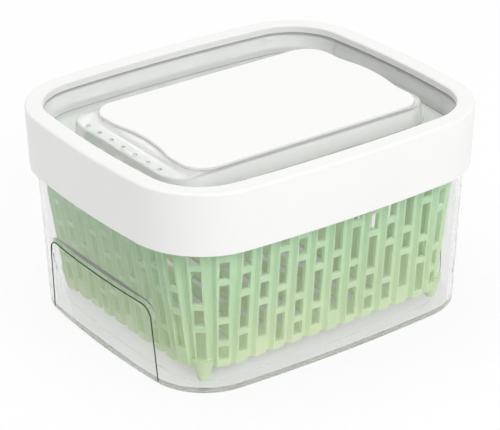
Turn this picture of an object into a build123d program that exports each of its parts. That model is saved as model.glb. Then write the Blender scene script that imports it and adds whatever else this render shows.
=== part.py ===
from build123d import *
import os
from math import cos, hypot, radians, sin, sqrt, tan

# Produce keeper: a clear box, a slotted basket on four feet in it, a white collar lid with a
# recessed clear panel, a sliding vent cover on the panel and a carbon filter in a tray under it.
# Millimetres and degrees. Origin: centre of the footprint at table level. +X long way, +Z up.

# Clear box
box_base_length = 180.6
box_base_width = 150.3
box_corner = 31.6
box_draft = 2.5
box_height = 101.4
box_wall = 2.4
box_floor = 2.6
box_heel_radius = 1.5
foot_ring_width = 9.0
foot_ring_step = 0.6

# The sides of every large outline are wide arcs
bow_radius_side = 854.0
bow_radius_end = 517.0

# Flat finger recess low in both end walls of the box
grip_set_in = 0.5
grip_height = 40.5
grip_half_width_top = 44.5
grip_half_width_base = 47.0
grip_corner = 6.5

# Lid collar
skirt_clearance = 1.6
skirt_corner_extra = 1.0
skirt_height = 31.6
skirt_wall = 2.2
skirt_draft = 2.0
collar_top_thickness = 2.6
collar_edge_radius = 1.2
lip_depth = 3.7
lip_wall = 2.0
lip_edge_bevel = 0.5
opening_margin = 9.5
opening_corner_loss = 11.3

# Clear lid panel
panel_wall = 1.8
panel_flange_reach = 4.0
panel_flange_thickness = 2.0
panel_recess_depth = 11.1
panel_draft = 7.7
plateau_end_margin = 12.4
plateau_side_margin = 27.3
plateau_rise = 9.6
plateau_corner = 13.0
plateau_draft = 9.0
plateau_edge_radius = 1.2

# Vent holes near the left end of the plateau
vent_hole_count = 7
vent_hole_pitch = 10.35
vent_hole_diameter = 2.0
vent_hole_inset = 3.1

# Sliding vent cover
cover_thickness = 1.4
cover_side_margin = 0.8
cover_left_margin = 1.1
cover_right_margin = 0.1
cover_wave = 3.3
cover_wave_margin = 22.8
cover_wave_blend = 24.0
cover_corner = 13.0
cover_edge_bevel = 0.4
vent_travel = 11.6
leg_length = 6.0
leg_width = 1.8
leg_margin_end = 28.5
leg_margin_side = 11.7
leg_barb = 0.7
leg_barb_height = 0.8
leg_play = 0.4

# Shutter under the plateau, joined to the cover by its legs
shutter_thickness = 1.4
shutter_gap = 0.2
shutter_end_play = 0.4
shutter_right_gap = 2.0
shutter_side_play = 1.0
shutter_frame = 14.0
window_corner = 4.0

# Filter tray, filter pad and filter cap
tray_wall = 1.6
tray_side_gap = 0.7
tray_left_margin = 10.6
tray_right_margin = 3.6
tray_corner = 10.0
tray_rib = 1.2
tray_rib_count = 3
tray_clearance = 0.3
pad_thickness = 5.4
pad_margin = 6.0
pad_corner = 4.0
pad_bevel = 1.0
cap_thickness = 1.4
cap_lip = 2.2
cap_lip_wall = 1.2
cap_play = 0.3
cap_slot_width = 3.0
cap_slot_pitch = 7.0
cap_slot_margin = 13.0

# Lid seal
seal_shelf = 0.7
seal_shelf_inset = 0.4
seal_leg = 6.0
seal_clearance = 0.35

# Basket, set off from the wall of the box at its base and at its top
basket_base_height = 10.0
basket_top_clearance = 2.2
basket_gap_end_base = 9.95
basket_gap_side_base = 7.3
basket_gap_end_top = 2.5
basket_gap_side_top = 3.1
basket_corner_ease = 1.2
basket_wall = 2.0
basket_floor = 2.0
flute_pitch = 10.7
flute_crest = 6.2
flute_flank = 1.4
flute_depth = 2.0
flute_corner_reach = 18.0
flutes_corner = 3
slot_width = 4.9
slot_long = 18.5
slot_short = 9.5
slot_bridge = 3.0
slot_phase = 1
slot_least = 4.0
slot_field_margin = 2.0
slot_pattern_margin = 6.0
rim_flange_thickness = 1.6
rim_flange_gap = 0.9
foot_inset = 3.0
foot_tip_radius = 2.8
foot_top_radius = 5.6
foot_overlap = 4.0
floor_slot_margin = 7.0
floor_slot_gap = 7.0
floor_slot_rows = 3

# Heights and sizes that follow
box_spread = box_height * tan(radians(box_draft))
lid_spread = box_spread + skirt_clearance + skirt_wall
lid_length = box_base_length + 2 * lid_spread
lid_width = box_base_width + 2 * lid_spread
lid_corner = box_corner + lid_spread + skirt_corner_extra
lid_top = box_height + seal_shelf + panel_flange_thickness + lip_depth
skirt_base = lid_top - skirt_height
collar_roof = lid_top - collar_top_thickness
opening_length = lid_length - 2 * opening_margin
opening_width = lid_width - 2 * opening_margin
opening_corner = lid_corner - opening_corner_loss
panel_top = lid_top - lip_depth
panel_flange_base = panel_top - panel_flange_thickness
panel_floor_top = panel_top - panel_recess_depth
panel_floor_base = panel_floor_top - panel_wall
plateau_length = opening_length - 2 * plateau_end_margin
plateau_width = opening_width - 2 * plateau_side_margin
plateau_top = panel_floor_top + plateau_rise
plateau_roof = plateau_top - panel_wall
vent_hole_x = vent_hole_inset - plateau_length / 2
cover_half_width = plateau_width / 2 - cover_side_margin
cover_right = plateau_length / 2 - cover_right_margin - cover_wave
cover_left = vent_travel + cover_left_margin - plateau_length / 2
cover_centre = (cover_left + cover_right) / 2
shutter_top = plateau_roof - shutter_gap
shutter_base = shutter_top - shutter_thickness
shutter_left = vent_travel + shutter_end_play + panel_wall - plateau_length / 2
shutter_right = plateau_length / 2 - panel_wall - shutter_end_play - shutter_right_gap
tray_left = tray_left_margin - plateau_length / 2
tray_right = plateau_length / 2 - tray_right_margin
tray_centre = (tray_left + tray_right) / 2
tray_half_width = plateau_width / 2 - panel_wall - tray_side_gap
tray_inner_half_width = tray_half_width - tray_wall
shutter_half_width = tray_inner_half_width - shutter_side_play
tray_roof = shutter_base - leg_barb_height - tray_clearance
basket_top = panel_floor_base - basket_top_clearance
slot_period = slot_long + slot_short + 2 * slot_bridge
slot_shift = slot_period / 4


def arcs_meet(half_length, half_width, radius_side, radius_end):
    """The corner, before rounding, where the arc of a long side meets the arc of an end."""
    dx, dy = half_length - radius_end, radius_side - half_width
    apart = hypot(dx, dy)
    along = (radius_side**2 - radius_end**2 + apart**2) / (2 * apart)
    across = sqrt(radius_side**2 - along**2)
    return (along * dx + across * dy) / apart, (along * dy - across * dx) / apart - dy


def bowed(length, width, corner, z, grow):
    """A rounded rectangle with bowed sides at height z, grown evenly by an offset."""
    hl, hw = length / 2 + grow, width / 2 + grow
    x, y = arcs_meet(hl, hw, bow_radius_side + grow, bow_radius_end + grow)
    edges = [
        ThreePointArc((x, -y), (hl, 0), (x, y)),
        ThreePointArc((x, y), (0, hw), (-x, y)),
        ThreePointArc((-x, y), (-hl, 0), (-x, -y)),
        ThreePointArc((-x, -y), (0, -hw), (x, -y)),
    ]
    face = make_face(edges)
    return Pos(0, 0, z) * fillet(face.vertices(), corner + grow)


def plate(face, thickness):
    return extrude(face, thickness, dir=(0, 0, 1))


def drafted(outline, low, high, offset=0.0):
    """The body between two heights whose outline changes evenly with height."""
    return loft([outline(low, offset), outline(high, offset)], ruled=True)


def box_outline(z, grow=0.0):
    grow += z * tan(radians(box_draft))
    return bowed(box_base_length, box_base_width, box_corner, z, grow)


def grip_blocks(grow, plane):
    """Both finger recesses: one tall rounded shape, extruded outwards from a flat plane."""
    top = grip_height + grow
    lean = (grip_half_width_base - grip_half_width_top) / grip_height
    low, high = grip_half_width_base + grow + lean, grip_half_width_top + grow
    face = make_face(Polyline((-low, -1), (low, -1), (high, top), (-high, top), close=True))
    face = fillet(face.vertices().sort_by(Axis.Y)[-2:], grip_corner + grow)
    right = Pos(plane, 0, 0) * extrude(Plane.YZ * face, 8 * box_wall)
    return right + mirror(right, Plane.YZ)


def container():
    outer = drafted(box_outline, 0, box_height)
    outer = fillet(outer.faces().sort_by(Axis.Z)[0].edges(), box_heel_radius)
    inner = drafted(box_outline, box_floor, box_height + 1, -box_wall)
    plane = box_base_length / 2 - grip_set_in
    outer = outer - grip_blocks(0, plane)
    inner = inner - grip_blocks(box_wall, plane - box_wall)
    hollow = plate(box_outline(0, -foot_ring_width - box_heel_radius), foot_ring_step)
    return outer - inner - hollow


def opening_outline(z, grow=0.0):
    return bowed(opening_length, opening_width, opening_corner, z, grow)


def skirt_outline(z, grow=0.0):
    grow -= (lid_top - z) * tan(radians(skirt_draft))
    return bowed(lid_length, lid_width, lid_corner, z, grow)


def lid_collar():
    outer = drafted(skirt_outline, skirt_base, lid_top)
    outer = fillet(outer.faces().sort_by(Axis.Z)[-1].edges(), collar_edge_radius)
    hollow = drafted(skirt_outline, skirt_base - 1, collar_roof, -skirt_wall)
    lip = plate(opening_outline(panel_top, lip_wall), lip_depth - lip_edge_bevel)
    mouth = plate(opening_outline(panel_top - 1), lip_depth + 2)
    collar = outer - hollow + lip - mouth
    inner_edges = collar.faces().sort_by(Axis.Z)[-1].inner_wires()[0].edges()
    return chamfer(inner_edges, lip_edge_bevel)


def recess_outline(z, grow=0.0):
    return opening_outline(z, grow - (panel_top - z) * tan(radians(panel_draft)))


def plateau_outline(z, grow=0.0):
    grow += (plateau_top - z) * tan(radians(plateau_draft))
    length, width = plateau_length + 2 * grow, plateau_width + 2 * grow
    return Pos(0, 0, z) * RectangleRounded(length, width, plateau_corner + grow)


def leg_places():
    """Centres of the four legs that join the vent cover to its shutter."""
    reach_x = cover_right - cover_centre - leg_margin_end
    reach_y = cover_half_width - leg_margin_side
    return [(cover_centre + sx * reach_x, sy * reach_y) for sx in (-1, 1) for sy in (-1, 1)]


def lid_panel():
    flange = plate(opening_outline(panel_flange_base, panel_flange_reach), panel_flange_thickness)
    bowl = drafted(recess_outline, panel_floor_base, panel_top, panel_wall)
    recess = drafted(recess_outline, panel_floor_top, panel_top + 1)
    rise = drafted(plateau_outline, panel_floor_base, plateau_top)
    rise = fillet(rise.faces().sort_by(Axis.Z)[-1].edges(), plateau_edge_radius)
    under = drafted(plateau_outline, panel_floor_base - 1, plateau_roof, -panel_wall)
    body = flange + bowl - recess + rise - under
    half = (vent_hole_count - 1) / 2
    drill = Cylinder(vent_hole_diameter / 2, 4 * panel_wall)
    for i in range(vent_hole_count):
        body -= Pos(vent_hole_x, (i - half) * vent_hole_pitch, plateau_top) * drill
    run, gap = leg_length + vent_travel + 2 * leg_play, leg_width + 2 * leg_play
    for x, y in leg_places():
        body -= Pos(x - vent_travel / 2, y, plateau_top) * Box(run, gap, 4 * panel_wall)
    return body


def wavy_face():
    """Plan of the vent cover: straight sides, both ends swelling towards +X in their middle."""
    w, b = cover_half_width, cover_wave
    s = w - cover_wave_margin
    x0, x1 = cover_left, cover_right
    edges = [
        Line((x1, -w), (x1, -s)),
        ThreePointArc((x1, -s), (x1 + b, 0), (x1, s)),
        Line((x1, s), (x1, w)),
        Line((x1, w), (x0, w)),
        Line((x0, w), (x0, s)),
        ThreePointArc((x0, s), (x0 + b, 0), (x0, -s)),
        Line((x0, -s), (x0, -w)),
        Line((x0, -w), (x1, -w)),
    ]
    face = make_face(edges)
    face = fillet([v for v in face.vertices() if abs(v.Y) < w - 1], cover_wave_blend)
    outer_row = face.vertices().filter_by(lambda v: abs(abs(v.Y) - w) < 0.01)
    return fillet(outer_row, cover_corner)


def vent_cover():
    body = plate(Pos(0, 0, plateau_top) * wavy_face(), cover_thickness)
    body = chamfer(body.faces().sort_by(Axis.Z)[-1].edges(), cover_edge_bevel)
    drop = plateau_top - shutter_base
    for x, y in leg_places():
        body += Pos(x, y, plateau_top - drop / 2) * Box(leg_length, leg_width, drop)
        barb = Box(leg_length, leg_width + 2 * leg_barb, leg_barb_height)
        body += Pos(x, y, shutter_base - leg_barb_height / 2) * barb
    return body


def vent_shutter():
    length, width = shutter_right - shutter_left, 2 * shutter_half_width
    centre = (shutter_right + shutter_left) / 2
    plan = RectangleRounded(length, width, tray_corner)
    body = Pos(centre, 0, shutter_base) * plate(plan, shutter_thickness)
    window = (length - 3 * shutter_frame) / 2
    hole = plate(RectangleRounded(window, width - 2 * shutter_frame, window_corner), 3 * shutter_thickness)
    for side in (-1, 1):
        x = centre + side * (window + shutter_frame) / 2
        body -= Pos(x, 0, shutter_base - shutter_thickness) * hole
    for x, y in leg_places():
        body -= Pos(x, y, shutter_base) * Box(leg_length, leg_width, 4 * shutter_thickness)
    return body


def tray_outline(z, inset=0.0):
    length, width = tray_right - tray_left - 2 * inset, 2 * (tray_half_width - inset)
    return Pos(tray_centre, 0, z) * RectangleRounded(length, width, tray_corner - inset)


def filter_tray():
    height = plateau_roof - panel_floor_base
    body = plate(tray_outline(panel_floor_base), height)
    body -= plate(tray_outline(panel_floor_base - 1, tray_wall), height + 2)
    width, passage = 2 * tray_inner_half_width, plateau_roof - tray_roof
    length = tray_right - tray_left
    body -= Pos(tray_centre, 0, tray_roof + passage) * Box(2 * length, width, 2 * passage)
    step = (length - 2 * tray_wall) / (tray_rib_count + 1)
    for i in range(tray_rib_count):
        x = tray_left + tray_wall + (i + 1) * step
        body += Pos(x, 0, tray_roof - tray_rib / 2) * Box(2 * tray_rib, width + tray_wall / 2, tray_rib)
    return body


def carbon_filter():
    inset = tray_wall + pad_margin
    length, width = tray_right - tray_left - 2 * inset, 2 * (tray_half_width - inset)
    plan = Pos(tray_centre, 0, panel_floor_base) * RectangleRounded(length, width, pad_corner)
    pad = plate(plan, pad_thickness)
    return chamfer(pad.faces().sort_by(Axis.Z)[-1].edges(), pad_bevel)


def filter_cap():
    body = plate(tray_outline(panel_floor_base - cap_thickness), cap_thickness)
    inset = tray_wall + cap_play
    lip = plate(tray_outline(panel_floor_base, inset), cap_lip)
    body += lip - plate(tray_outline(panel_floor_base, inset + cap_lip_wall), cap_lip)
    width = 2 * (tray_half_width - cap_slot_margin)
    count = int((tray_right - tray_left - 2 * cap_slot_margin) // cap_slot_pitch) + 1
    for i in range(count):
        x = tray_centre + (i - (count - 1) / 2) * cap_slot_pitch
        body -= Pos(x, 0, panel_floor_base) * Box(cap_slot_width, width, 4 * cap_thickness)
    return body


def lid_seal():
    reach = panel_flange_reach - seal_shelf_inset
    shelf = plate(opening_outline(box_height, reach), seal_shelf)
    low = box_height - seal_leg
    leg = drafted(box_outline, low, box_height, -box_wall - seal_clearance)
    return shelf + leg - drafted(recess_outline, low - 1, panel_top, panel_wall)


def basket_half(z):
    """Half length and half width of the basket at height z."""
    t = (z - basket_base_height) / (basket_top - basket_base_height)
    spread = z * tan(radians(box_draft)) - box_wall
    gap_end = basket_gap_end_base + (basket_gap_end_top - basket_gap_end_base) * t
    gap_side = basket_gap_side_base + (basket_gap_side_top - basket_gap_side_base) * t
    return box_base_length / 2 + spread - gap_end, box_base_width / 2 + spread - gap_side


def flutes(half):
    """An odd number of flutes for a straight wall, so that one stands in its middle."""
    return 2 * int((half - flute_corner_reach) / flute_pitch) + 1


def corner_centre():
    """Where the straight flutes of two walls end, the same at every height."""
    half_length, half_width = basket_half(basket_base_height)
    half_flute = flute_crest / 2 + flute_flank
    cx = (flutes(half_length) - 1) / 2 * flute_pitch + half_flute
    cy = (flutes(half_width) - 1) / 2 * flute_pitch + half_flute
    return cx, cy


def columns():
    """Every flute in order round the basket: its quarter, its kind, and its place or angle."""
    half_length, half_width = basket_half(basket_base_height)
    order = []
    for quarter in range(4):
        count = flutes(half_length if quarter % 2 else half_width)
        order += [(quarter, "wall", (i - (count - 1) / 2) * flute_pitch) for i in range(count)]
        order += [(quarter, "corner", (i + 0.5) * 90 / flutes_corner) for i in range(flutes_corner)]
    return order


def on_corner(quarter, angle, reach_x, reach_y):
    """A point round a corner, on an ellipse that is eased in a little towards its middle."""
    cx, cy = corner_centre()
    sx, sy = ((1, 1), (-1, 1), (-1, -1), (1, -1))[quarter]
    t = radians(90 * quarter + angle)
    ease = basket_corner_ease * sin(radians(2 * angle))
    return sx * cx + (reach_x - cx - ease) * cos(t), sy * cy + (reach_y - cy - ease) * sin(t)


def fluted(z, inset=0.0):
    """Outline of the basket at height z: each flute has a flat crest between two valley points."""
    half_length, half_width = basket_half(z)
    half_length, half_width = half_length - inset, half_width - inset
    crest, foot = flute_crest / 2, flute_crest / 2 + flute_flank
    degree = 90 / flutes_corner / flute_pitch
    points = []
    for quarter, kind, at in columns():
        half = half_length if quarter % 2 == 0 else half_width
        turn = radians(90 * quarter)
        for along, depth in ((-foot, flute_depth), (-crest, 0), (crest, 0), (foot, flute_depth)):
            if kind == "corner":
                reach = half_length - depth, half_width - depth
                points.append(on_corner(quarter, at + along * degree, *reach))
            else:
                x, y = half - depth, at + along
                points.append((x * cos(turn) - y * sin(turn), x * sin(turn) + y * cos(turn)))
    return Pos(0, 0, z) * make_face(Polyline(*points, close=True))


def slot_spans(column):
    """Slots of one flute, long and short in turn, a quarter period lower in each next flute."""
    low = basket_base_height + basket_floor + slot_field_margin
    high = basket_top - rim_flange_thickness - slot_field_margin
    z = low + slot_pattern_margin - (column + slot_phase) % 4 * slot_shift - slot_period
    spans = []
    while z < high:
        for length in (slot_long, slot_short):
            a, b = max(z, low), min(z + length, high)
            if b - a > slot_least:
                spans.append((a, b))
            z += length + slot_bridge
    return spans


def slot_cutters():
    """One block per slot, square to the flute that it cuts."""
    blocks = []
    reach = 8 * basket_wall
    cx, _ = corner_centre()
    for column, (quarter, kind, at) in enumerate(columns()):
        for a, b in slot_spans(column):
            middle = (a + b) / 2
            half_length, half_width = basket_half(middle)
            if kind == "corner":
                x, y = on_corner(quarter, at, half_length, half_width)
                pitch = (basket_half(a)[0] - cx) * radians(90 / flutes_corner)
                width = slot_width * min(1, pitch / flute_pitch)
                blocks.append(Pos(x, y, middle) * Rot(0, 0, 90 * quarter + at) * Box(reach, width, b - a))
            else:
                half = half_length if quarter % 2 == 0 else half_width
                block = Pos(half, at, middle) * Box(reach, slot_width, b - a)
                blocks.append(Rot(0, 0, 90 * quarter) * block)
    return blocks


def floor_cutters():
    """Drain slots in the basket floor, in rows."""
    half_length, half_width = basket_half(basket_base_height)
    count = flutes(half_length) - 1
    field = 2 * (half_width - basket_wall - flute_depth - floor_slot_margin)
    length = (field + floor_slot_gap) / floor_slot_rows - floor_slot_gap
    blocks = []
    for i in range(count):
        for j in range(floor_slot_rows):
            x = (i - (count - 1) / 2) * flute_pitch
            y = (j - (floor_slot_rows - 1) / 2) * (length + floor_slot_gap)
            blocks.append(Pos(x, y, basket_base_height) * Box(slot_width, length, 4 * basket_floor))
    return blocks


def basket():
    body = loft([fluted(basket_base_height), fluted(basket_top)], ruled=True)
    low = basket_base_height + basket_floor
    hollow = loft([fluted(low, basket_wall), fluted(basket_top + 1, basket_wall)], ruled=True)
    flange_base = basket_top - rim_flange_thickness
    body += plate(box_outline(flange_base, -box_wall - rim_flange_gap), rim_flange_thickness)
    half_length, half_width = basket_half(basket_base_height)
    tall = basket_base_height + foot_overlap - box_floor
    for quarter in range(4):
        x, y = on_corner(quarter, 45, half_length - foot_inset, half_width - foot_inset)
        body += Pos(x, y, box_floor + tall / 2) * Cone(foot_tip_radius, foot_top_radius, tall)
    body -= hollow
    body -= slot_cutters()
    body -= floor_cutters()
    return body


pieces = {
    "container": container,
    "basket": basket,
    "lid_collar": lid_collar,
    "lid_panel": lid_panel,
    "lid_seal": lid_seal,
    "vent_cover": vent_cover,
    "vent_shutter": vent_shutter,
    "filter_tray": filter_tray,
    "carbon_filter": carbon_filter,
    "filter_cap": filter_cap,
}

os.makedirs("parts", exist_ok=True)
for name, make in pieces.items():
    export_step(make(), f"parts/{name}.step")
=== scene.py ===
# %% [markdown]
# # A clear produce keeper with a slotted basket
# The real object is a moulded box for fruit and vegetables. A green basket stands on four feet
# in a clear box, and a white collar holds a clear lid panel with a sliding vent cover.
# All shapes but two thin beads come from the CAD model, so this lesson is about finishes: white
# plastic that has been handled, milky green plastic and clear plastic.
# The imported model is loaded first. Every piece is then given its finish.

# %% Load the model
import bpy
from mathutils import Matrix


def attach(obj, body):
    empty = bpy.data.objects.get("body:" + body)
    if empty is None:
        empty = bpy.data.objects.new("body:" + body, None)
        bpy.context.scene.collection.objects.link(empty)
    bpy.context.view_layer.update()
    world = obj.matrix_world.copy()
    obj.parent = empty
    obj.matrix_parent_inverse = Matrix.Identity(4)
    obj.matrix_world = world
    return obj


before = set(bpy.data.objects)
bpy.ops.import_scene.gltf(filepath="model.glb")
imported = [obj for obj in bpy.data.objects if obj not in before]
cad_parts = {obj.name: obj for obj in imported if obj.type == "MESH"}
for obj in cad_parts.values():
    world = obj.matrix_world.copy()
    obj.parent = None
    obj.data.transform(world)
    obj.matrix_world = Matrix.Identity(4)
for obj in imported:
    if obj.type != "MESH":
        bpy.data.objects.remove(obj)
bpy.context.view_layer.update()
print("pieces:", ", ".join(sorted(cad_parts)))

# %% Names used all through the lesson
import math

import bpy
from mathutils import Matrix, Vector

scene = bpy.context.scene
scene.view_settings.view_transform = "Standard"
print("view transform:", scene.view_settings.view_transform)

# %% [markdown]
# ## The camera
# A product picture like this one is taken with a long lens from about a metre away, which keeps
# the upright edges nearly parallel. The camera could be placed by hand until it looks right.
# Here it is built from an angle round the object, an angle above the table and a distance,
# because these three numbers are easy to read and to change one at a time.

# %% Camera
turn = math.radians(-35.61)
rise = math.radians(26.40)
roll = math.radians(-0.54)
target = Vector((-0.00044, 0.0, 0.04499))
distance = 1.10864
focal_length = 159.45


def aimed(turn, rise, roll, target, distance):
    """The matrix of a camera that looks at a target from a turn and a rise."""
    back = Vector((math.sin(turn) * math.cos(rise), -math.cos(turn) * math.cos(rise), math.sin(rise)))
    right = Vector((math.cos(turn), math.sin(turn), 0.0))
    up = back.cross(right)
    facing = Matrix((right, up, back)).transposed() @ Matrix.Rotation(roll, 3, "Z")
    return Matrix.Translation(target + back * distance) @ facing.to_4x4()


lens = bpy.data.cameras.new("camera")
lens.sensor_fit = "HORIZONTAL"
lens.sensor_width = 36.0
lens.lens = focal_length
lens.clip_start = 0.01
camera = bpy.data.objects.new("camera", lens)
scene.collection.objects.link(camera)
camera.matrix_world = aimed(turn, rise, roll, target, distance)
scene.camera = camera
print("camera at", [round(v, 3) for v in camera.matrix_world.translation])

# %% [markdown]
# ## Nodes, and groups of nodes
# A finish is a small network of nodes. An effect that several finishes share is best made once,
# as a group with named inputs and outputs. A group gives out masks and heights only, and the
# shader itself stays in each material, where its own values are easy to find.
# Three helpers keep the rest short: one places a node, one fills a socket with a number, a
# colour or a link, and one makes an empty group.

# %% Helpers: nodes and groups
def place(tree, kind, **settings):
    """A new node, with its settings given by name."""
    node = tree.nodes.new(kind)
    for name, value in settings.items():
        setattr(node, name, value)
    return node


def feed(tree, value, socket):
    """Gives a socket a number, a colour, or what another node puts out."""
    if isinstance(value, (int, float)):
        socket.default_value = value
    elif isinstance(value, tuple):
        socket.default_value = (*value, 1.0)
    else:
        tree.links.new(value, socket)


def new_group(name, inputs, outputs):
    """An empty node group with named sockets, and its two end nodes."""
    group = bpy.data.node_groups.new(name, "ShaderNodeTree")
    for label, value in inputs.items():
        socket = group.interface.new_socket(name=label, in_out="INPUT", socket_type="NodeSocketFloat")
        socket.default_value = value
    for label in outputs:
        group.interface.new_socket(name=label, in_out="OUTPUT", socket_type="NodeSocketFloat")
    return group, group.nodes.new("NodeGroupInput"), group.nodes.new("NodeGroupOutput")


print("helpers:", place.__name__, feed.__name__, new_group.__name__)

# %% [markdown]
# ## Moulded grain and flow
# Plastic that was poured into a steel mould carries two marks of it. The skin has a very fine
# grain from the polished steel, and the whole wall has a slow unevenness where the melt flowed.
# Both are noise: one fine, one a few centimetres wide and pulled out of shape a little.
# Object coordinates are used, in metres, so the grain has its real size on every piece.

# %% Group: moulded surface
moulded_surface, group_in, group_out = new_group(
    "moulded_surface", {"Grain Scale": 2500.0, "Flow Scale": 22.0}, ("Grain", "Flow")
)
where = place(moulded_surface, "ShaderNodeTexCoord")
grain = place(moulded_surface, "ShaderNodeTexNoise")
grain.inputs["Detail"].default_value = 3.0
flow = place(moulded_surface, "ShaderNodeTexNoise")
flow.inputs["Detail"].default_value = 1.5
flow.inputs["Distortion"].default_value = 0.8
for noise, label in ((grain, "Grain"), (flow, "Flow")):
    moulded_surface.links.new(where.outputs["Object"], noise.inputs["Vector"])
    moulded_surface.links.new(group_in.outputs[label + " Scale"], noise.inputs["Scale"])
    moulded_surface.links.new(noise.outputs["Fac"], group_out.inputs[label])
print("group:", moulded_surface.name)

# %% [markdown]
# ## Masks from numbers
# A mask is a number from 0 to 1 at each point of a surface. Most masks here come from two
# steps: a Map Range node that turns one range of values into another and stops at its ends, and
# a Math node that joins two masks. Each gets a helper, so that a mask reads like a formula.

# %% Helpers: masks
def stretch(tree, value, low, high, to_low=0.0, to_high=1.0):
    """Maps one range of values onto another and clamps it."""
    node = place(tree, "ShaderNodeMapRange")
    node.inputs["From Min"].default_value = low
    node.inputs["From Max"].default_value = high
    node.inputs["To Min"].default_value = to_low
    node.inputs["To Max"].default_value = to_high
    feed(tree, value, node.inputs["Value"])
    return node.outputs["Result"]


def calc(tree, operation, *values, clamp=False):
    """One Math node; each value is a socket or a plain number."""
    node = place(tree, "ShaderNodeMath", operation=operation, use_clamp=clamp)
    for value, socket in zip(values, node.inputs):
        feed(tree, value, socket)
    return node.outputs["Value"]


print("helpers:", stretch.__name__, calc.__name__)

# %% [markdown]
# ## Handling marks
# A box that goes in and out of a fridge gets hair scratches on its faces and a soft rub along
# its edges. The scratches are a noise squeezed hard one way and cut off high. The rub comes
# from the Bevel node: near an edge its rounded normal leaves the true one, and the difference
# between the two is the mask.
# The same edge mask also carries painted light: dark edge lines on the clear plastic and a paler edge glow
# on the basket.

# %% Group: handling marks
scratch_turn, scratch_squeeze = (0.3, 0.5, 0.9), (1.0, 14.0, 3.0)
scratch_cut = (0.62, 0.72)
rub_and_shade_width = 0.0009

marks_and_edge_shade, group_in, group_out = new_group(
    "marks_and_edge_shade", {"Scratch Scale": 60.0, "Edge Gain": 5.0}, ("Scratches", "Edge")
)
where = place(marks_and_edge_shade, "ShaderNodeTexCoord")
squeeze = place(marks_and_edge_shade, "ShaderNodeMapping")
squeeze.inputs["Rotation"].default_value = scratch_turn
squeeze.inputs["Scale"].default_value = scratch_squeeze
hairs = place(marks_and_edge_shade, "ShaderNodeTexNoise")
hairs.inputs["Detail"].default_value = 5.0
marks_and_edge_shade.links.new(where.outputs["Object"], squeeze.inputs["Vector"])
marks_and_edge_shade.links.new(squeeze.outputs["Vector"], hairs.inputs["Vector"])
marks_and_edge_shade.links.new(group_in.outputs["Scratch Scale"], hairs.inputs["Scale"])
scratches = stretch(marks_and_edge_shade, hairs.outputs["Fac"], *scratch_cut)
marks_and_edge_shade.links.new(scratches, group_out.inputs["Scratches"])

rounded = place(marks_and_edge_shade, "ShaderNodeBevel", samples=4)
rounded.inputs["Radius"].default_value = rub_and_shade_width
true_face = place(marks_and_edge_shade, "ShaderNodeNewGeometry")
agree = place(marks_and_edge_shade, "ShaderNodeVectorMath", operation="DOT_PRODUCT")
marks_and_edge_shade.links.new(rounded.outputs["Normal"], agree.inputs[0])
marks_and_edge_shade.links.new(true_face.outputs["Normal"], agree.inputs[1])
apart = calc(marks_and_edge_shade, "SUBTRACT", 1.0, agree.outputs["Value"])
edge = calc(marks_and_edge_shade, "MULTIPLY", apart, group_in.outputs["Edge Gain"], clamp=True)
marks_and_edge_shade.links.new(edge, group_out.inputs["Edge"])
print("group:", marks_and_edge_shade.name)

# %% [markdown]
# ## From masks to a finish
# A material starts from the Principled shader, and what is the same all over is set on it as a
# plain value. Masks then lead from one colour to the next, or raise small bumps. Real plastic
# is never one flat value, and it is these slight changes that make it look real.

# %% Helpers: finishes
def new_material(name, colour, roughness, specular=0.5):
    """A material with its colour, roughness and reflection set on the shader itself."""
    material = bpy.data.materials.new(name)
    material.use_nodes = True
    shader = material.node_tree.nodes["Principled BSDF"]
    shader.inputs["Base Color"].default_value = (*colour, 1.0)
    shader.inputs["Roughness"].default_value = roughness
    shader.inputs["Specular IOR Level"].default_value = specular
    return material, material.node_tree, shader


def use_group(tree, group, **values):
    """Places a group in a material with that material's own values."""
    node = place(tree, "ShaderNodeGroup", node_tree=group)
    for label, value in values.items():
        node.inputs[label.replace("_", " ")].default_value = value
    return node


def two_colours(tree, mask, first, second):
    """Goes from the first colour to the second as the mask goes from 0 to 1."""
    node = place(tree, "ShaderNodeMix", data_type="RGBA")
    for value, socket in ((mask, 0), (first, 6), (second, 7)):
        feed(tree, value, node.inputs[socket])
    return node.outputs[2]


def bumped(tree, shader, height, strength, depth):
    """Feeds a height into the shader's normal through a Bump node."""
    node = place(tree, "ShaderNodeBump")
    node.inputs["Strength"].default_value = strength
    node.inputs["Distance"].default_value = depth
    tree.links.new(height, node.inputs["Height"])
    tree.links.new(node.outputs["Normal"], shader.inputs["Normal"])


def darker(colour, *shares):
    """A colour times one share, or times one share for each of red, green and blue."""
    return tuple(v * w for v, w in zip(colour, shares * 3))


print("helpers:", new_material.__name__, use_group.__name__, two_colours.__name__, bumped.__name__)

# %% [markdown]
# ## White plastic
# The collar and the vent cover are white plastic with a satin skin. White is never one value:
# the flow of the melt leaves faint patches, edges are a little shinier from rubbing, and hair
# scratches catch the light. All of it is slight, because the piece is nearly new.

# %% White finishes
patch_shares = (0.975, 0.975, 0.965)
dust_share, dust_strength = 0.93, 0.35
rub_smoother = 0.14


def white_plastic(name, colour, roughness, grain_depth):
    """White moulded plastic with faint patches, rubbed edges and hair scratches."""
    material, tree, shader = new_material(name, colour, roughness)
    surface = use_group(tree, moulded_surface, Grain_Scale=2200.0, Flow_Scale=20.0)
    marks = use_group(tree, marks_and_edge_shade, Scratch_Scale=80.0, Edge_Gain=4.0)
    base = two_colours(tree, surface.outputs["Flow"], colour, darker(colour, *patch_shares))
    dusty = stretch(tree, marks.outputs["Scratches"], 0.0, 1.0, 0.0, dust_strength)
    base = two_colours(tree, dusty, base, darker(colour, dust_share))
    tree.links.new(base, shader.inputs["Base Color"])
    rub = stretch(tree, marks.outputs["Edge"], 0.0, 1.0, roughness, roughness - rub_smoother)
    tree.links.new(rub, shader.inputs["Roughness"])
    bumped(tree, shader, surface.outputs["Grain"], 0.3, grain_depth)
    return material


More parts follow.
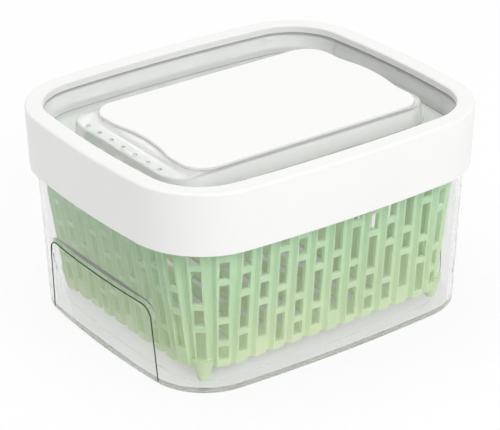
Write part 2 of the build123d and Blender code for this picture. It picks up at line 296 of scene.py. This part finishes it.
white_shell = white_plastic("white_shell_plastic", (0.88, 0.88, 0.872), 0.36, 0.00008)
white_cover = white_plastic("white_cover_plastic", (0.90, 0.90, 0.895), 0.30, 0.00005)
white_inner = white_plastic("white_inner_plastic", (0.80, 0.80, 0.79), 0.50, 0.0001)
print("white finishes:", white_shell.name, white_cover.name, white_inner.name)

# %% [markdown]
# ## The seal
# The seal is soft silicone, pale and a little cloudy. A small amount of Subsurface, which lets
# light wander two millimetres under the skin, gives that cloudy look.

# %% Silicone
light_wander = 0.002
silicone, tree, shader = new_material("pale_silicone", (0.72, 0.74, 0.71), 0.5)
surface = use_group(tree, moulded_surface, Grain_Scale=1500.0, Flow_Scale=40.0)
pale = two_colours(tree, surface.outputs["Flow"], (0.84, 0.85, 0.83), (0.78, 0.79, 0.77))
tree.links.new(pale, shader.inputs["Base Color"])
shader.inputs["Subsurface Weight"].default_value = 0.2
shader.inputs["Subsurface Radius"].default_value = (light_wander, light_wander, light_wander)
bumped(tree, shader, surface.outputs["Grain"], 0.3, 0.0001)
print("seal finish:", silicone.name)

# %% [markdown]
# ## The filter pad
# The pad is felt full of carbon, so it is nearly black, with fibres that break its surface up.
# The same fine noise stands for the fibres in the colour and in the bump, so that each dark
# spot is also a hollow.

# %% Carbon felt
carbon_felt, tree, shader = new_material("carbon_felt", (0.03, 0.03, 0.03), 0.95, 0.2)
fibres = use_group(tree, moulded_surface, Grain_Scale=1400.0, Flow_Scale=300.0)
dark = two_colours(tree, fibres.outputs["Grain"], (0.015, 0.015, 0.016), (0.09, 0.09, 0.085))
tree.links.new(dark, shader.inputs["Base Color"])
bumped(tree, shader, fibres.outputs["Grain"], 0.9, 0.0004)
print("pad finish:", carbon_felt.name)

# %% [markdown]
# ## Where on the piece
# The basket and the box change their look with the height above the table. The height is the Z
# of the object coordinates, and a Separate XYZ node takes it out of the vector. Both finishes
# also blend two shaders into one, which is the work of a Mix Shader node.

# %% Helpers: axes of a vector, and blended shaders
def axes(tree, vector):
    """The X, Y and Z of a vector, as three sockets."""
    node = place(tree, "ShaderNodeSeparateXYZ")
    tree.links.new(vector, node.inputs["Vector"])
    return node.outputs


def own_axes(tree):
    """The X, Y and Z of each point of the object, in metres."""
    return axes(tree, place(tree, "ShaderNodeTexCoord").outputs["Object"])


def show_blend(tree, mask, first, second):
    """Blends two shaders by a mask or a number, and gives them to the material's output."""
    node = place(tree, "ShaderNodeMixShader")
    for value, socket in ((mask, 0), (first, 1), (second, 2)):
        feed(tree, value, node.inputs[socket])
    tree.links.new(node.outputs["Shader"], tree.nodes["Material Output"].inputs["Surface"])


print("helpers:", axes.__name__, own_axes.__name__, show_blend.__name__)

# %% [markdown]
# ## Milky green plastic
# The basket is a softer, milky green plastic. Light goes into it and comes out elsewhere, so
# its walls glow a little and the far side of a thin wall is never dark. Full Subsurface would
# do this well but slowly. A Translucent shader blended with the plain one is nearly as good on
# walls two millimetres thick. Low down the green is painted paler and warmer, a painted glow for
# the light that the white table throws up, and the thin edges of the slots get a painted glow too.

# %% Green basket finish
# The second colour on this line is painted light: the basket is painted paler low down, where the white
# table lights it.
green_high, green_painted_table_glow = (0.72, 0.94, 0.70), (0.87, 0.96, 0.70)
green_flow = (0.68, 0.89, 0.61)
# Painted highlight: the thin edges of the slots are painted paler, as a glow.
green_painted_edge_glow = (0.86, 0.94, 0.76)
table_glow_fade = (0.012, 0.075)
light_let_through = 0.42

basket_green, tree, shader = new_material("basket_green_plastic", (0.68, 0.88, 0.62), 0.38)
surface = use_group(tree, moulded_surface, Grain_Scale=2600.0, Flow_Scale=26.0)
marks = use_group(tree, marks_and_edge_shade, Scratch_Scale=90.0, Edge_Gain=3.0)
table_glow_mask = stretch(tree, own_axes(tree)["Z"], *table_glow_fade, 1.0, 0.0)
green = two_colours(tree, table_glow_mask, green_high, green_painted_table_glow)
flowing = stretch(tree, surface.outputs["Flow"], 0.35, 0.75, 0.0, 0.4)
green = two_colours(tree, flowing, green, green_flow)
# Painted highlight: a paler green on the edges.
green = two_colours(tree, marks.outputs["Edge"], green, green_painted_edge_glow)
tree.links.new(green, shader.inputs["Base Color"])
satin = stretch(tree, surface.outputs["Grain"], 0.3, 0.7, 0.32, 0.48)
tree.links.new(satin, shader.inputs["Roughness"])
bumped(tree, shader, surface.outputs["Grain"], 0.25, 0.0001)
through = place(tree, "ShaderNodeBsdfTranslucent")
tree.links.new(green, through.inputs["Color"])
show_blend(tree, light_let_through, shader.outputs["BSDF"], through.outputs["BSDF"])
print("basket finish:", basket_green.name)

# %% [markdown]
# ## Clear plastic
# The box and the lid panel are clear, hard plastic about two millimetres thick. Transmission
# with an index of refraction bends the light and draws a grey line along every edge. Above five
# centimetres a dark line is also painted into the colour of each edge, as painted shade. The index
# is set lower than the real one, because the simple studio shows less in the plastic than a
# real room does, and a strong bend would only make it grey. The lid is also a little hazy: part
# of it is plain white plastic, which is a Transmission Weight below 1.
# A clear floor is a trap for light, which runs along inside it and leaves a black ring where it
# can't get out. So the outside of the foot and the small ledge over the finger recess are
# frosted: rough and white, as a moulded foot that has been slid about on shelves is.
# The lowest half millimetre of the heel is painted dark, as painted shade for the thin line where box and
# table meet.

# %% Heights and slopes where the clear finish changes
# The first heights give the strip at the bottom of the heel that is painted dark, as painted contact shade.
heel_shade_fade = (0.0003, 0.0006)
foot_fade = (0.0010, 0.0018)
ledge_start, ledge_end = (0.034, 0.036), (0.046, 0.048)
# Above this height the edges get painted dark lines, as painted shade.
painted_edge_lines_start = (0.050, 0.055)
ledge_slope, underside_slope = (0.4, 0.6), (0.90, 0.96)
frost_roughness, scratch_haze = 0.6, 0.16
# The second colour is painted shade for the line where box and table meet.
frost_colour, heel_painted_shade_colour = (1.0, 1.0, 1.0), (0.25, 0.26, 0.25)
print("foot frosted up to", foot_fade[1], "m, ledge from", ledge_start[0], "to", ledge_end[1], "m")


# %% Masks for the clear finishes
def clear_masks(tree):
    """Masks by height and slope: what is frosted, the painted heel shade, and where painted edge lines show.
    """
    height = own_axes(tree)["Z"]
    normal = place(tree, "ShaderNodeNewGeometry").outputs["Normal"]
    level = calc(tree, "ABSOLUTE", axes(tree, normal)["Z"])
    foot = stretch(tree, height, *foot_fade, 1.0, 0.0)
    near_ledge = calc(
        tree, "MULTIPLY", stretch(tree, height, *ledge_start), stretch(tree, height, *ledge_end, 1.0, 0.0)
    )
    ledge = calc(tree, "MULTIPLY", near_ledge, stretch(tree, level, *ledge_slope))
    frost = calc(tree, "MAXIMUM", foot, ledge)
    # Painted shade: the lowest strip of the underside is darkened.
    low = stretch(tree, height, *heel_shade_fade, 1.0, 0.0)
    heel_painted_shade = calc(tree, "MULTIPLY", low, stretch(tree, level, *underside_slope, 1.0, 0.0))
    return frost, heel_painted_shade, stretch(tree, height, *painted_edge_lines_start)


print("helper:", clear_masks.__name__)

# %% [markdown]
# ## Light through clear plastic
# Light from a lamp would be stopped by a refracting shader, and the basket inside would go
# dark. A Transparent shader lets it straight through. The Light Path node tells the two kinds
# of ray apart: what the camera sees is refracted, and what lights the inside is not.

# %% Clear finishes
def clear_plastic(name, tint, painted_edge_shade, roughness, clarity, bend, shade):
    """Clear moulded plastic: slightly uneven, lightly scratched, with painted dark lines on edges and heel,
    and open to lamp light.
    """
    material, tree, shader = new_material(name, tint, roughness, 0.3)
    shader.inputs["Transmission Weight"].default_value = clarity
    shader.inputs["IOR"].default_value = bend
    surface = use_group(tree, moulded_surface, Grain_Scale=900.0, Flow_Scale=30.0)
    marks = use_group(tree, marks_and_edge_shade, Scratch_Scale=70.0, Edge_Gain=3.0)
    frost, heel_painted_shade, edge_shade_shows = clear_masks(tree)

    hazy = stretch(tree, marks.outputs["Scratches"], 0.0, 1.0, roughness, roughness + scratch_haze)
    rougher = calc(tree, "MAXIMUM", hazy, calc(tree, "MULTIPLY", frost, frost_roughness))
    tree.links.new(rougher, shader.inputs["Roughness"])

    colour = two_colours(tree, surface.outputs["Flow"], tint, darker(tint, 0.985))
    # Painted shade: dark edge lines and the dark heel line are mixed into the colour.
    painted_edge_lines = calc(tree, "MULTIPLY", marks.outputs["Edge"], edge_shade_shows)
    for mask, next_colour in ((painted_edge_lines, painted_edge_shade), (frost, frost_colour), (heel_painted_shade, heel_painted_shade_colour)):
        colour = two_colours(tree, mask, colour, next_colour)
    tree.links.new(colour, shader.inputs["Base Color"])
    bumped(tree, shader, surface.outputs["Flow"], 0.06, 0.0005)

    lamp_ray = place(tree, "ShaderNodeLightPath").outputs["Is Shadow Ray"]
    passing = place(tree, "ShaderNodeBsdfTransparent")
    passing.inputs["Color"].default_value = (shade, shade, shade, 1.0)
    show_blend(tree, lamp_ray, shader.outputs["BSDF"], passing.outputs["BSDF"])
    return material


# The second colour of each is the painted edge shade.
clear_box = clear_plastic(
    "clear_box_plastic", (0.93, 0.935, 0.93), (0.16, 0.24, 0.16),
    roughness=0.03, clarity=0.98, bend=1.33, shade=0.99,
)
clear_lid = clear_plastic(
    "clear_lid_plastic", (0.985, 0.99, 0.985), (0.20, 0.22, 0.20),
    roughness=0.05, clarity=0.6, bend=1.25, shade=1.0,
)
print("clear finishes:", clear_box.name, clear_lid.name)

# %% [markdown]
# ## Dress the pieces
# The object comes apart into ten pieces. The three white ones under the panel share one finish.
# A finish could be given to each piece by hand in the viewport. A table of names does it in one
# go, and shows at a glance which piece has which finish. Shapes and places stay as they are.

# %% Give each piece its finish
finishes = {
    "container": clear_box,
    "basket": basket_green,
    "lid_collar": white_shell,
    "lid_panel": clear_lid,
    "lid_seal": silicone,
    "vent_cover": white_cover,
    "vent_shutter": white_inner,
    "filter_tray": white_inner,
    "carbon_filter": carbon_felt,
    "filter_cap": white_inner,
}
for name, finish in finishes.items():
    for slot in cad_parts[name].material_slots:
        slot.material = finish
    print(name, "->", finish.name)

# %% [markdown]
# ## The edge of the finger recess
# Both end walls of the box have a flat recess for the fingers. Its edge is a small step, and
# clear plastic bends light away at a step, so the eye sees a fine dark line there.
# Refraction alone would draw it, but the step fades where the bowed wall meets the flat recess.
# A fine dark bead along the edge keeps the line whole; it is painted shade, since the real box has
# no bead there, only the bent light. Its outline is first worked out flat: up one side, round a corner,
# across the top, and the same again mirrored.

# %% Outline of the recess
recess_top = 0.0410
recess_half_top = 0.0447
recess_half_base = 0.0466
recess_start = 0.0018
recess_corner = 0.0065
points_up, points_round, points_across = 12, 10, 20


def recess_path():
    """Points (y, z) up one side of the recess, across its top and down the other side."""
    corner_y, corner_z = recess_half_top - recess_corner, recess_top - recess_corner
    leaning, climb = recess_half_top - recess_half_base, corner_z - recess_start
    shares = [i / points_up for i in range(points_up)]
    side = [(recess_half_base + leaning * t, recess_start + climb * t) for t in shares]
    angles = [math.pi / 2 * i / points_round for i in range(points_round + 1)]
    bend = [(corner_y + recess_corner * math.cos(a), corner_z + recess_corner * math.sin(a)) for a in angles]
    top = [(corner_y * (1 - 2 * i / points_across), recess_top) for i in range(1, points_across)]
    half = side + bend
    return half + top + [(-y, z) for y, z in reversed(half)]


print("outline of the recess:", len(recess_path()), "points")

# %% [markdown]
# ## A bead of painted shade that lies on the wall
# Each point of the flat outline is cast onto the box from outside, so that the bead lies on the
# plastic all the way. The bead is a curve with a thickness, which is the simplest way to make a
# thin round line. It belongs to the box, so it rides on the box's body.
# Its plastic is the clear one, only much darker: painted shade for the dark line that an edge seen end on
# shows.

# %% Recess bead
shade_bead_radius = 0.00036
cast_from = 0.2

# Painted shade: the bead's dark green colour stands in for the shade line at the step.
shade_line_plastic, tree, shader = new_material("recess_painted_shade_line", (0.10, 0.15, 0.10), 0.15)
shader.inputs["Transmission Weight"].default_value = 0.6
shader.inputs["IOR"].default_value = 1.2
surface = use_group(tree, moulded_surface, Grain_Scale=900.0, Flow_Scale=60.0)
painted_line_shade = two_colours(tree, surface.outputs["Flow"], (0.04, 0.09, 0.04), (0.12, 0.18, 0.12))
tree.links.new(painted_line_shade, shader.inputs["Base Color"])


def cast_shade_line(name, side):
    """A fine dark bead of painted shade on one end wall, cast onto the clear box from outside."""
    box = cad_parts["container"]
    inward = Vector((-side, 0.0, 0.0))
    casts = [box.ray_cast(Vector((side * cast_from, y, z)), inward) for y, z in recess_path()]
    points = [spot for hit, spot, _, _ in casts if hit]
    shape = bpy.data.curves.new(name, "CURVE")
    shape.dimensions = "3D"
    shape.bevel_depth = shade_bead_radius
    shape.bevel_resolution = 2
    shape.use_fill_caps = True
    spline = shape.splines.new("POLY")
    spline.points.add(len(points) - 1)
    for point, spot in zip(spline.points, points):
        point.co = (*spot, 1.0)
    shade_bead = bpy.data.objects.new(name, shape)
    scene.collection.objects.link(shade_bead)
    shape.materials.append(shade_line_plastic)
    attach(shade_bead, "box_body")
    return len(points)


for name, side in (("recess_shade_line_left", -1), ("recess_shade_line_right", 1)):
    print(name, "points on the wall:", cast_shade_line(name, side))

# %% [markdown]
# ## Floor
# The picture has a white ground with only a soft shadow. A large pale floor catches the shadow.
# To the eye the floor is mostly a plain white glow, like a thin veil over it, and to the lamps
# it is an ordinary pale surface, so it sends no extra light onto the object.
# Under the basket the veil is thinner, and the floor there shows the basket's own shade. That
# keeps white specks out of the basket's slots, as in the picture. When the basket is lifted out,
# the shade goes with it. The floor lies a hair below the foot, so that the two never touch.

# %% Helper: rays that the eye follows
def seen_directly(tree):
    """1 for rays from the camera, off gloss and through clear plastic, and 0 for all others."""
    path = place(tree, "ShaderNodeLightPath")
    through_clear = calc(tree, "MAXIMUM", path.outputs["Is Glossy Ray"], path.outputs["Is Transmission Ray"])
    return calc(tree, "MAXIMUM", path.outputs["Is Camera Ray"], through_clear)


print("helper:", seen_directly.__name__)

# %% Floor
floor_reach = 6.0
floor_level = -0.0002
veil, veil_under_basket = 0.86, 0.30
basket_fade_x, basket_fade_y = (0.062, 0.074), (0.050, 0.060)

floor_mesh = bpy.data.meshes.new("floor")
signs = ((-1, -1), (1, -1), (1, 1), (-1, 1))
corners = [(x * floor_reach, y * floor_reach, floor_level) for x, y in signs]
floor_mesh.from_pydata(corners, [], [(0, 1, 2, 3)])
floor = bpy.data.objects.new("floor", floor_mesh)
scene.collection.objects.link(floor)
pale_floor, tree, shader = new_material("pale_floor", (0.95, 0.95, 0.95), 0.9, 0.0)
floor_mesh.materials.append(pale_floor)
place_on_floor = own_axes(tree)
along = stretch(tree, calc(tree, "ABSOLUTE", place_on_floor["X"]), *basket_fade_x, 1.0, 0.0)
across = stretch(tree, calc(tree, "ABSOLUTE", place_on_floor["Y"]), *basket_fade_y, 1.0, 0.0)
under_basket = calc(tree, "MULTIPLY", along, across)
thickness = stretch(tree, under_basket, 0.0, 1.0, veil, veil_under_basket)
glow = place(tree, "ShaderNodeEmission")
glow.inputs["Color"].default_value = (1.0, 1.0, 1.0, 1.0)
glow.inputs["Strength"].default_value = 1.0
seen_veil = calc(tree, "MULTIPLY", seen_directly(tree), thickness)
show_blend(tree, seen_veil, shader.outputs["BSDF"], glow.outputs["Emission"])
print("floor:", 2 * floor_reach, "m wide, veil", veil, "and under the basket", veil_under_basket)

# %% [markdown]
# ## Room
# The world is the light of a pale room from all sides. The eye sees it plain white, also in
# reflections and through clear plastic, while it lights the object less strongly than that.

# %% World
room_level = 0.64
world = bpy.data.worlds.new("soft_room")
scene.world = world
world.use_nodes = True
tree = world.node_tree
sky = tree.nodes["Background"]
sky.inputs["Color"].default_value = (1.0, 1.0, 1.0, 1.0)
tree.links.new(stretch(tree, seen_directly(tree), 0.0, 1.0, room_level, 1.0), sky.inputs["Strength"])
print("room level:", room_level)

# %% [markdown]
# ## Lamps
# The front of the collar is the brightest side and its left end is greyer, so the picture has a
# large soft lamp in front, and another above, a little behind the object. They could be suns or
# spots, but square lamps this wide keep every shadow soft. Their power stays low enough for
# the white plastic not to burn out, because burnt-out white loses its edges.

# %% Lamps
def soft_lamp(name, place_at, look_at, size, power):
    """A square area lamp that faces a point."""
    data = bpy.data.lights.new(name, "AREA")
    data.shape = "SQUARE"
    data.size = size
    data.energy = power
    lamp = bpy.data.objects.new(name, data)
    lamp.location = place_at
    lamp.rotation_euler = (Vector(look_at) - Vector(place_at)).to_track_quat("-Z", "Y").to_euler()
    scene.collection.objects.link(lamp)
    return lamp


centre = (0.0, 0.0, 0.05)
front_lamp = soft_lamp("front_lamp", (0.05, -1.45, 0.95), centre, 0.9, 9.5)
top_lamp = soft_lamp("top_lamp", (-0.1, 0.35, 1.6), centre, 1.2, 8.0)
print("lamps:", front_lamp.name, top_lamp.name)
